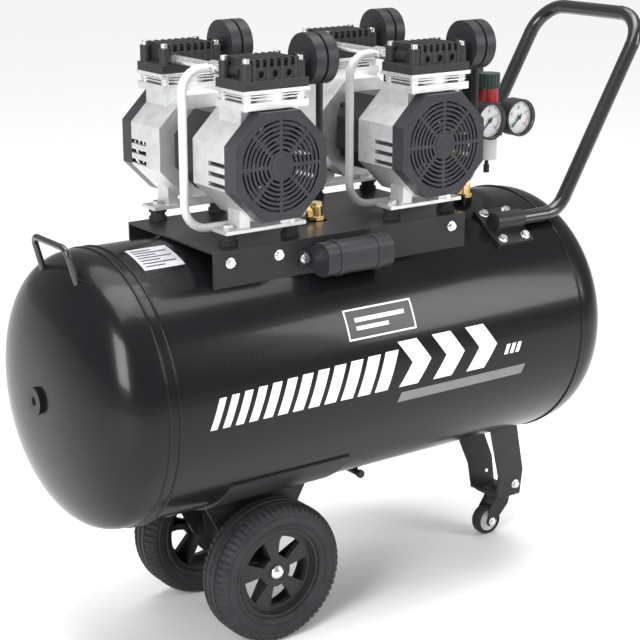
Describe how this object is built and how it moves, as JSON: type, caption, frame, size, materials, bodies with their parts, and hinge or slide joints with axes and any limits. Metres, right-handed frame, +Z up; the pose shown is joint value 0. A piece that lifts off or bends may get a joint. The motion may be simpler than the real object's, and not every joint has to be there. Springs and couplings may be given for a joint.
{
  "type": "air compressor",
  "caption": "Wheeled oil-free workshop air compressor: horizontal receiver with twin pump units, regulator with gauges, swivel caster and a push handle.",
  "frame": {"origin": "on the floor under the middle of the whole outline", "axes": "+X along the receiver from its lifting handle to its push handle, -Y towards the front wheel and the gauges, +Z up"},
  "size_m": [1.0203, 0.394, 0.8722],
  "materials": {
    "tank_paint": "gloss black powder coat",
    "black_steel": "satin black powder coat",
    "alloy": "shot-blasted casting",
    "steel": "zinc plated",
    "brass": "machined",
    "soft_rubber": "matt",
    "tyre_rubber": "matt",
    "black_plastic": "moulded",
    "black_casting": "black painted casting",
    "hose_grey": "braid covered hose",
    "grey_plastic": "moulded",
    "knob_plastic": "moulded",
    "red_plastic": "moulded",
    "lens": "clear",
    "graphic_white": "printed film",
    "graphic_grey": "printed film",
    "graphic_silver": "printed film",
    "needle_paint": "painted"
  },
  "bodies": {
    "compressor": {"tank_shell": "tank_paint", "tank_heads": "tank_paint", "tank_bosses": "tank_paint", "tank_plug": "steel", "drain_valve": "black_casting", "deck": "black_steel", "rubber_mounts": "soft_rubber", "mount_bolts": "steel", "stators": "black_casting", "crankcases": "alloy", "bearings": "steel", "cylinders": "alloy", "valve_plates": "alloy", "cylinder_heads": "black_casting", "head_screws": "steel", "intake_filters": "black_plastic", "fan_grilles": "black_plastic", "crossover_pipes": "alloy", "discharge_hoses": "hose_grey", "check_valves": "brass", "capacitor_box": "black_plastic", "wheel_brackets": "black_steel", "wheel_axles": "steel", "caster_leg": "black_steel", "caster_plate": "black_steel", "push_handle": "black_steel", "handle_clamps": "black_steel", "flange_bolts": "steel", "lift_handle": "black_steel", "manifold": "brass", "pressure_switch": "black_plastic", "switch_cover": "black_plastic", "regulator": "black_casting", "filter_bowl": "grey_plastic", "gauges": "black_plastic", "gauge_lenses": "lens", "safety_valve": "brass", "outlet_coupler": "steel"},
    "front_wheel": {"front_wheel": "black_plastic", "front_tyre": "tyre_rubber"},
    "rear_wheel": {"rear_wheel": "black_plastic", "rear_tyre": "tyre_rubber"},
    "caster_swivel": {"caster_fork": "black_steel", "caster_axle": "steel"},
    "caster_roller": {"caster_wheel": "grey_plastic", "caster_tyre": "soft_rubber"},
    "left_shaft": {"left_rotor": "steel", "left_fans": "black_plastic"},
    "right_shaft": {"right_rotor": "steel", "right_fans": "black_plastic"},
    "left_front_piston": {"left_front_piston": "alloy"},
    "left_rear_piston": {"left_rear_piston": "alloy"},
    "right_front_piston": {"right_front_piston": "alloy"},
    "right_rear_piston": {"right_rear_piston": "alloy"},
    "regulator_knob": {"regulator_knob": "knob_plastic"},
    "switch_knob": {"switch_knob": "red_plastic"},
    "left_needle": {"left_needle": "needle_paint"},
    "right_needle": {"right_needle": "needle_paint"},
    "drain_tap": {"drain_tap": "black_casting"},
    "safety_ring": {"safety_ring": "steel"}
  },
  "joints": [
    {"name": "front_wheel_spin", "type": "hinge", "parent": "compressor", "child": "front_wheel", "pos_m": [-0.196, -0.1, 0.105], "axis": [0, 1, 0], "continuous": true},
    {"name": "rear_wheel_spin", "type": "hinge", "parent": "compressor", "child": "rear_wheel", "pos_m": [-0.196, 0.1, 0.105], "axis": [0, 1, 0], "continuous": true},
    {"name": "caster_swivel", "type": "hinge", "parent": "compressor", "child": "caster_swivel", "pos_m": [0.328, 0, 0.06], "axis": [0, 0, 1], "continuous": true},
    {"name": "caster_roll", "type": "hinge", "parent": "caster_swivel", "child": "caster_roller", "pos_m": [0.304, 0, 0.025], "axis": [0, 1, 0], "continuous": true},
    {"name": "left_motor_shaft", "type": "hinge", "parent": "compressor", "child": "left_shaft", "pos_m": [-0.207, 0, 0.70522], "axis": [0, 1, 0], "continuous": true},
    {"name": "right_motor_shaft", "type": "hinge", "parent": "compressor", "child": "right_shaft", "pos_m": [0.071, 0, 0.70522], "axis": [0, 1, 0], "continuous": true},
    {"name": "left_front_piston_stroke", "type": "slide", "parent": "compressor", "child": "left_front_piston", "axis": [0, 0, 1], "range_m": [-0.008, 0.008]},
    {"name": "left_rear_piston_stroke", "type": "slide", "parent": "compressor", "child": "left_rear_piston", "axis": [0, 0, 1], "range_m": [-0.008, 0.008]},
    {"name": "right_front_piston_stroke", "type": "slide", "parent": "compressor", "child": "right_front_piston", "axis": [0, 0, 1], "range_m": [-0.008, 0.008]},
    {"name": "right_rear_piston_stroke", "type": "slide", "parent": "compressor", "child": "right_rear_piston", "axis": [0, 0, 1], "range_m": [-0.008, 0.008]},
    {"name": "regulator_turn", "type": "hinge", "parent": "compressor", "child": "regulator_knob", "pos_m": [0.23, -0.06, 0.76522], "axis": [0, 0, 1], "range_deg": [-360, 360]},
    {"name": "switch_turn", "type": "hinge", "parent": "compressor", "child": "switch_knob", "pos_m": [0.209, -0.008, 0.78522], "axis": [0, 0, 1], "range_deg": [0, 90]},
    {"name": "left_gauge_needle", "type": "hinge", "parent": "compressor", "child": "left_needle", "pos_m": [0.201, -0.103, 0.72022], "axis": [0, 1, 0], "range_deg": [0, 270], "stiffness_Nm_per_rad": 0.004},
    {"name": "right_gauge_needle", "type": "hinge", "parent": "compressor", "child": "right_needle", "pos_m": [0.259, -0.103, 0.72022], "axis": [0, 1, 0], "range_deg": [0, 270], "stiffness_Nm_per_rad": 0.004},
    {"name": "drain_tap_turn", "type": "hinge", "parent": "compressor", "child": "drain_tap", "pos_m": [0.022, -0.02, 0.17722], "axis": [0, 1, 0], "range_deg": [0, 360]},
    {"name": "safety_pull", "type": "slide", "parent": "compressor", "child": "safety_ring", "axis": [-1, 0, 0], "range_m": [0, 0.004], "stiffness_N_per_m": 600}
  ]
}
